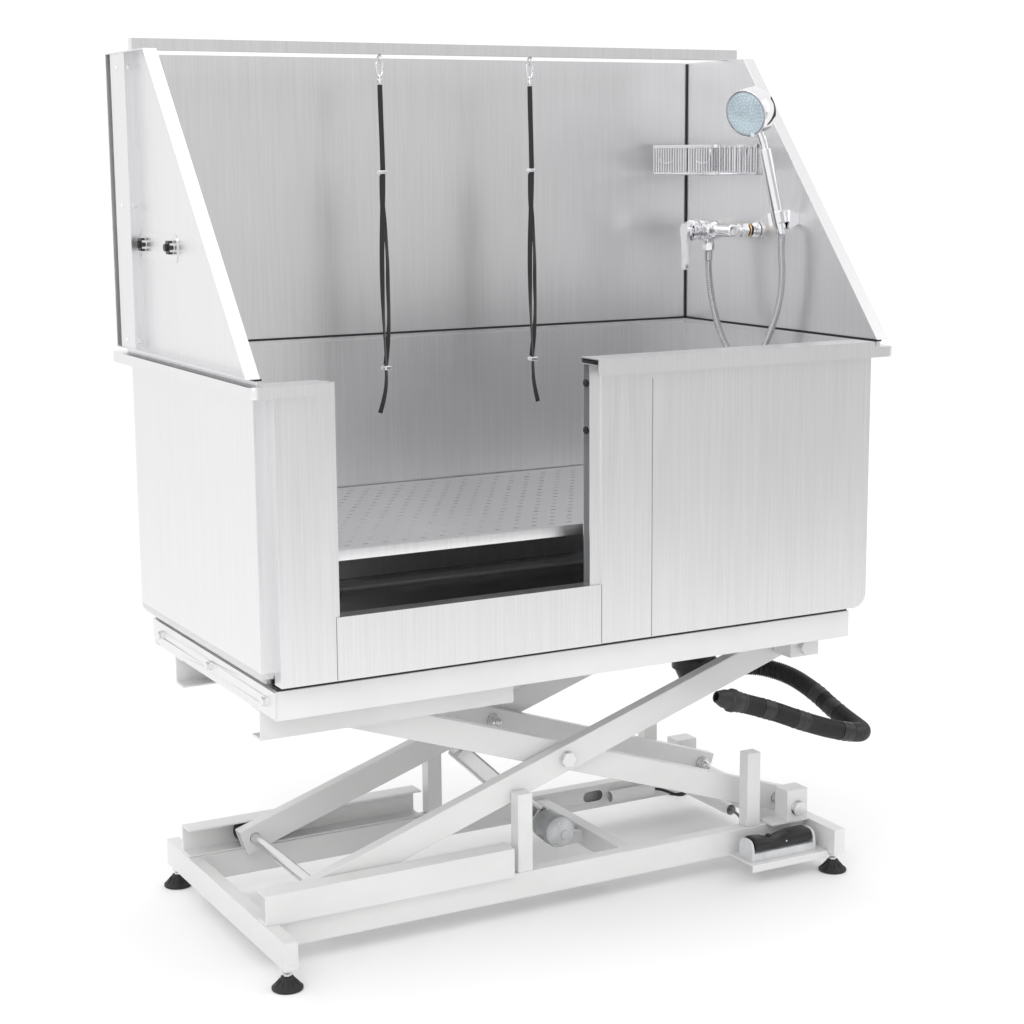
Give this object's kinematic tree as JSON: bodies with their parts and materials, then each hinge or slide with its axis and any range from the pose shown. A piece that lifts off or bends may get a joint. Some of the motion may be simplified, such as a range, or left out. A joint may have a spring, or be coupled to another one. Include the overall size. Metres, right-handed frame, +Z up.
{
  "type": "grooming table",
  "caption": "Stainless pet-bathing tub with splash walls, shower, leash bar and door opening, on an electric scissor-lift base with levelling feet.",
  "frame": {"origin": "floor point under the centre of the tub's rim, z = 0 where the feet stand", "axes": "+Z up, +X along the tub towards the mixer end, -Y towards the door side"},
  "size_m": [1.27, 0.7145, 1.587],
  "materials": {
    "white_paint": "white powder coat, satin",
    "stainless": "vertical grain brushed",
    "chrome": "polished",
    "zinc": "bright zinc",
    "black_rubber": "matt black",
    "black_plastic": "black, fine texture",
    "roller_black": "black nylon",
    "aluminium": "extruded, satin",
    "motor_grey": "grey enamel",
    "hose_black": "corrugated black",
    "cable_black": "black",
    "cable_grey": "grey",
    "webbing": "black nylon webbing"
  },
  "bodies": {
    "base": {"base_end_tubes": "white_paint", "base_rails": "white_paint", "base_tracks": "white_paint", "stop_posts": "white_paint", "base_pivot_brackets": "white_paint", "base_fasteners": "zinc", "pedal_tray": "white_paint", "pedal_housing": "aluminium", "cable_conduits": "white_paint", "link_cable": "cable_black", "pedal_cable": "cable_grey"},
    "foot_1": {"foot_1": "black_rubber"},
    "foot_2": {"foot_2": "black_rubber"},
    "foot_3": {"foot_3": "black_rubber"},
    "foot_4": {"foot_4": "black_rubber"},
    "pedal_rocker": {"pedal_rocker": "black_plastic"},
    "inner_arms": {"inner_arms": "white_paint", "inner_cross_members": "white_paint"},
    "outer_arms": {"outer_arms": "white_paint", "outer_pins": "zinc"},
    "roller_lower_front": {"roller_lower_front": "roller_black"},
    "roller_lower_rear": {"roller_lower_rear": "roller_black"},
    "roller_upper_front": {"roller_upper_front": "roller_black"},
    "roller_upper_rear": {"roller_upper_rear": "roller_black"},
    "actuator_body": {"actuator_body": "aluminium", "actuator_motor": "motor_grey"},
    "actuator_rod": {"actuator_rod": "chrome"},
    "platform": {"top_frame": "white_paint", "top_tracks": "white_paint", "top_pivot_brackets": "white_paint", "tub_pads": "black_rubber", "skirt_plate": "stainless", "tub_pan": "stainless", "tub_walls": "stainless", "door_frame": "stainless", "door_guides": "stainless", "rim": "stainless", "splash_seals": "black_rubber", "splash_back": "stainless", "splash_sides": "stainless", "side_wall_fittings": "stainless", "top_bar": "stainless", "drain_trap": "black_plastic", "drain_hose": "hose_black", "drain_connector": "hose_black", "mixer_body": "chrome", "shower_holder": "chrome", "shower_hose": "chrome", "wire_basket": "chrome"},
    "grate_left": {"grate_left": "stainless"},
    "grate_right": {"grate_right": "stainless"},
    "mixer_cap": {"mixer_cap": "chrome"},
    "mixer_lever": {"mixer_lever": "chrome"},
    "shower_handset": {"shower_handset": "chrome"},
    "leash_left": {"leash_fittings_left": "chrome", "leash_strap_left": "webbing", "leash_loop_left": "webbing"},
    "leash_right": {"leash_fittings_right": "chrome", "leash_strap_right": "webbing", "leash_loop_right": "webbing"}
  },
  "joints": [
    {"name": "lift", "type": "hinge", "parent": "base", "child": "inner_arms", "pos_m": [0.525, -0.015, 0.116], "axis": [0, 1, 0], "range_deg": [-13.13, 3]},
    {"name": "scissor_centre", "type": "hinge", "parent": "inner_arms", "child": "outer_arms", "pos_m": [0.02907, -0.015, 0.2805], "axis": [0, 1, 0], "range_deg": [-6, 26.26]},
    {"name": "platform_level", "type": "hinge", "parent": "outer_arms", "child": "platform", "pos_m": [0.525, -0.015, 0.445], "axis": [0, 1, 0], "range_deg": [-13.13, 3]},
    {"name": "actuator_tilt", "type": "hinge", "parent": "base", "child": "actuator_body", "pos_m": [0.11, -0.015, 0.062], "axis": [0, 1, 0], "range_deg": [-23.29, 5.33]},
    {"name": "actuator_extend", "type": "slide", "parent": "actuator_body", "child": "actuator_rod", "axis": [-0.7214, 0, 0.6926], "range_m": [-0.0648, 0.0149]},
    {"name": "roller_lower_front_spin", "type": "hinge", "parent": "outer_arms", "child": "roller_lower_front", "pos_m": [-0.46686, -0.207, 0.116], "axis": [0, 1, 0], "continuous": true},
    {"name": "roller_lower_rear_spin", "type": "hinge", "parent": "outer_arms", "child": "roller_lower_rear", "pos_m": [-0.46686, 0.177, 0.116], "axis": [0, 1, 0], "continuous": true},
    {"name": "roller_upper_front_spin", "type": "hinge", "parent": "inner_arms", "child": "roller_upper_front", "pos_m": [-0.46686, -0.207, 0.445], "axis": [0, 1, 0], "continuous": true},
    {"name": "roller_upper_rear_spin", "type": "hinge", "parent": "inner_arms", "child": "roller_upper_rear", "pos_m": [-0.46686, 0.177, 0.445], "axis": [0, 1, 0], "continuous": true},
    {"name": "foot_1_level", "type": "slide", "parent": "base", "child": "foot_1", "axis": [0, 0, -1], "range_m": [0, 0.015]},
    {"name": "foot_2_level", "type": "slide", "parent": "base", "child": "foot_2", "axis": [0, 0, -1], "range_m": [0, 0.015]},
    {"name": "foot_3_level", "type": "slide", "parent": "base", "child": "foot_3", "axis": [0, 0, -1], "range_m": [0, 0.015]},
    {"name": "foot_4_level", "type": "slide", "parent": "base", "child": "foot_4", "axis": [0, 0, -1], "range_m": [0, 0.015]},
    {"name": "pedal_rock", "type": "hinge", "parent": "base", "child": "pedal_rocker", "pos_m": [0.4585, -0.259, 0.064], "axis": [0, 1, 0], "range_deg": [-4, 4], "stiffness_Nm_per_rad": 6},
    {"name": "grate_left_lift", "type": "slide", "parent": "platform", "child": "grate_left", "axis": [0, 0, 1], "range_m": [0, 0.15]},
    {"name": "grate_right_lift", "type": "slide", "parent": "platform", "child": "grate_right", "axis": [0, 0, 1], "range_m": [0, 0.15]},
    {"name": "mixer_temperature", "type": "hinge", "parent": "platform", "child": "mixer_cap", "pos_m": [0.5147, 0.127, 1.23], "axis": [1, 0, 0], "range_deg": [-45, 45]},
    {"name": "mixer_flow", "type": "hinge", "parent": "mixer_cap", "child": "mixer_lever", "pos_m": [0.5027, 0.127, 1.23], "axis": [0, 1, 0], "range_deg": [0, 20]},
    {"name": "handset_lift_out", "type": "slide", "parent": "platform", "child": "shower_handset", "axis": [-0.1218, 0.1883, 0.9745], "range_m": [0, 0.04]},
    {"name": "leash_left_swing", "type": "hinge", "parent": "platform", "child": "leash_left", "pos_m": [-0.159, 0.175, 1.556], "axis": [1, 0, 0], "range_deg": [-30, 8]},
    {"name": "leash_right_swing", "type": "hinge", "parent": "platform", "child": "leash_right", "pos_m": [0.159, 0.175, 1.556], "axis": [1, 0, 0], "range_deg": [-30, 8]}
  ],
  "couplings": [
    {"joint": "scissor_centre", "follows": "lift", "ratio": -2},
    {"joint": "platform_level", "follows": "lift", "ratio": 1},
    {"joint": "actuator_tilt", "follows": "lift", "ratio": 1.7733},
    {"joint": "actuator_extend", "follows": "lift", "m_per_rad": 0.2825}
  ]
}
